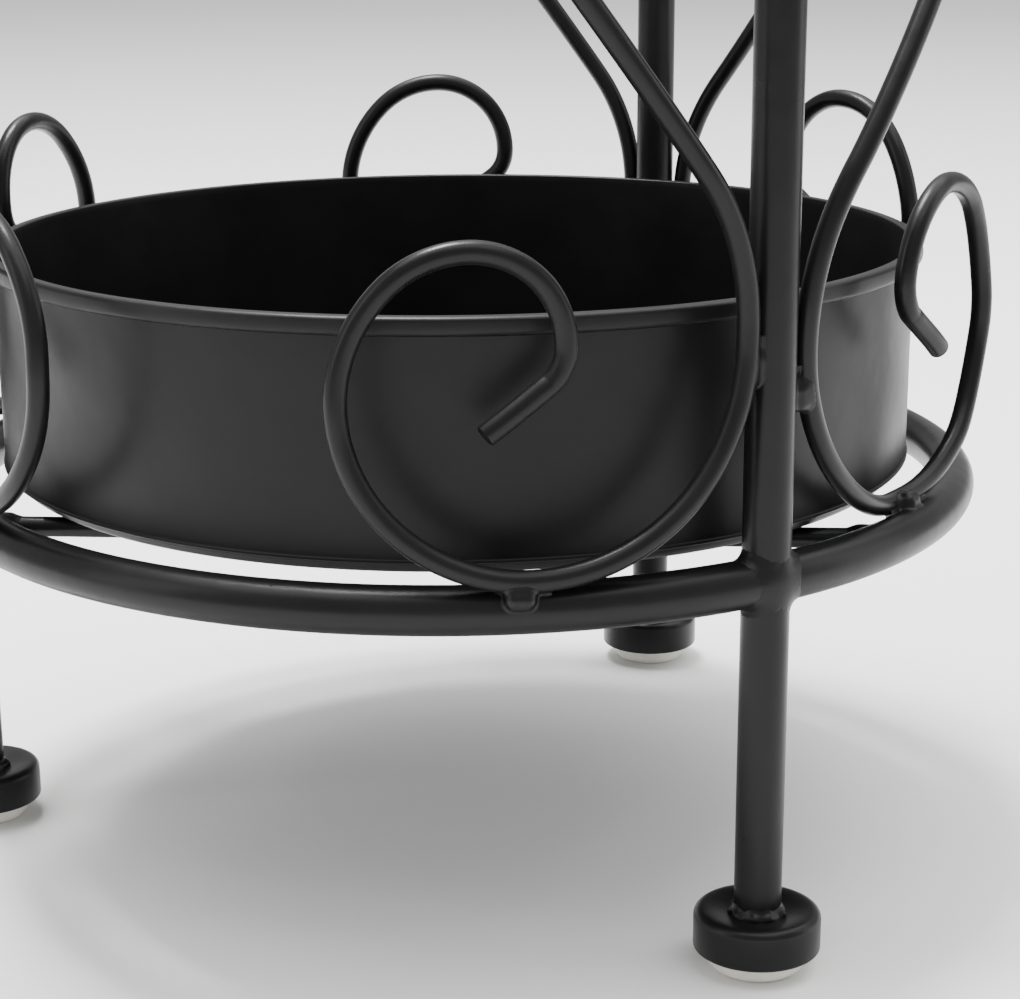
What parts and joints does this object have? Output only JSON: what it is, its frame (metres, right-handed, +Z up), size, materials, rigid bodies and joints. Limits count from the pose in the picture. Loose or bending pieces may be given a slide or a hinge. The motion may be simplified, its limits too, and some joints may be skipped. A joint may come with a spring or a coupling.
{
  "type": "umbrella stand",
  "caption": "Round wire umbrella stand in satin black steel, with rings on slim legs, scrolled wire sides and a lift-out drip tray.",
  "frame": {"origin": "centre of the stand's footprint, on the floor that the glides stand on", "axes": "+Z up along the stand's axis, +X and +Y level, with the legs at 15, 135 and 258.2 degrees from -Y towards +X"},
  "size_m": [0.2526, 0.2511, 0.46],
  "materials": {
    "frame_coat": "satin black powder coat on steel bar and wire",
    "tray_coat": "satin black powder coat on steel sheet",
    "glide_plastic": "matt off-white moulded plastic"
  },
  "bodies": {
    "frame": {"leg_1": "frame_coat", "foot_cup_1": "frame_coat", "lower_ring_arc_1": "frame_coat", "scroll_1_right_lower": "frame_coat", "scroll_1_right_upper": "frame_coat", "scroll_1_left_lower": "frame_coat", "scroll_1_left_upper": "frame_coat", "leg_2": "frame_coat", "foot_cup_2": "frame_coat", "lower_ring_arc_2": "frame_coat", "scroll_2_right_lower": "frame_coat", "scroll_2_right_upper": "frame_coat", "scroll_2_left_lower": "frame_coat", "scroll_2_left_upper": "frame_coat", "leg_3": "frame_coat", "foot_cup_3": "frame_coat", "lower_ring_arc_3": "frame_coat", "scroll_3_right_lower": "frame_coat", "scroll_3_right_upper": "frame_coat", "scroll_3_left_lower": "frame_coat", "scroll_3_left_upper": "frame_coat", "upper_ring": "frame_coat", "tray_bar_front": "frame_coat", "tray_bar_back": "frame_coat", "floor_glide_1": "glide_plastic", "floor_glide_2": "glide_plastic", "floor_glide_3": "glide_plastic"},
    "drip_tray": {"tray_wall": "tray_coat", "tray_base": "tray_coat"}
  },
  "joints": [
    {"name": "tray_lift", "type": "slide", "parent": "frame", "child": "drip_tray", "axis": [0, 0, 1], "range_m": [0, 0.4]}
  ]
}
